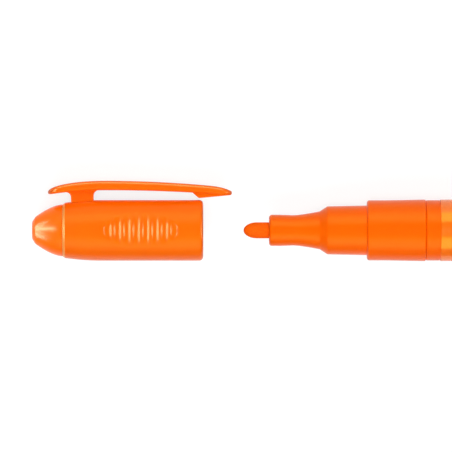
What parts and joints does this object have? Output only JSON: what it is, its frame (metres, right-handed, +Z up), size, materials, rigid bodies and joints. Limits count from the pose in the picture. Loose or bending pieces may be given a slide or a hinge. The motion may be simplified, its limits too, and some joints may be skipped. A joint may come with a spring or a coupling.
{
  "type": "paint marker",
  "caption": "Valve-fed paint marker with a bullet nib, lying on its side with its ribbed pocket-clip cap drawn off in line before the nib.",
  "frame": {"origin": "middle of the bounding box's base, on the surface that the marker and its cap lie on", "axes": "+X along the marker's axis towards its tail, the cap's crown towards -X; +Z up, out of the surface; the pocket clip points towards +Y and 20.5 degrees down, so that its arm's edge touches the surface"},
  "size_m": [0.1786, 0.02, 0.015],
  "materials": {
    "orange_polypropylene": "injection moulded, smooth",
    "orange_label_film": "coated film, smooth",
    "painted_fibre": "pressed polyester fibre soaked with orange paint",
    "natural_polyethylene": "injection moulded, soft",
    "white_valve_plastic": "injection moulded",
    "black_rubber": "cut from sheet",
    "spring_steel": "drawn wire",
    "ball_steel": "ground and polished"
  },
  "bodies": {
    "marker": {"front_section": "orange_polypropylene", "barrel": "orange_polypropylene", "label_film": "orange_label_film", "tail_plug": "orange_polypropylene", "valve_cup": "white_valve_plastic", "retaining_disc": "white_valve_plastic", "valve_spring": "spring_steel"},
    "nib": {"nib": "painted_fibre", "valve_stem": "white_valve_plastic", "valve_seal": "black_rubber"},
    "cap": {"cap_shell": "orange_polypropylene", "cap_crown": "orange_polypropylene", "inner_cap": "natural_polyethylene"},
    "clip": {"pocket_clip": "orange_polypropylene"},
    "ball": {"mixing_ball": "ball_steel"}
  },
  "joints": [
    {"name": "nib_press", "type": "slide", "parent": "marker", "child": "nib", "axis": [1, 0, 0], "range_m": [0, 0.0015], "stiffness_N_per_m": 800, "springref_m": -0.001, "deforming": ["valve_spring"]},
    {"name": "cap_slide", "type": "slide", "parent": "marker", "child": "cap", "axis": [1, 0, 0], "range_m": [0, 0.0395]},
    {"name": "clip_flex", "type": "hinge", "parent": "cap", "child": "clip", "pos_m": [-0.07988, 0.00428, 0.00496], "axis": [0, 0.3507, 0.9365], "range_deg": [0, 2.5], "stiffness_Nm_per_rad": 1.5},
    {"name": "ball_slide", "type": "slide", "parent": "marker", "child": "ball", "axis": [-1, 0, 0], "range_m": [0, 0.0458]}
  ]
}
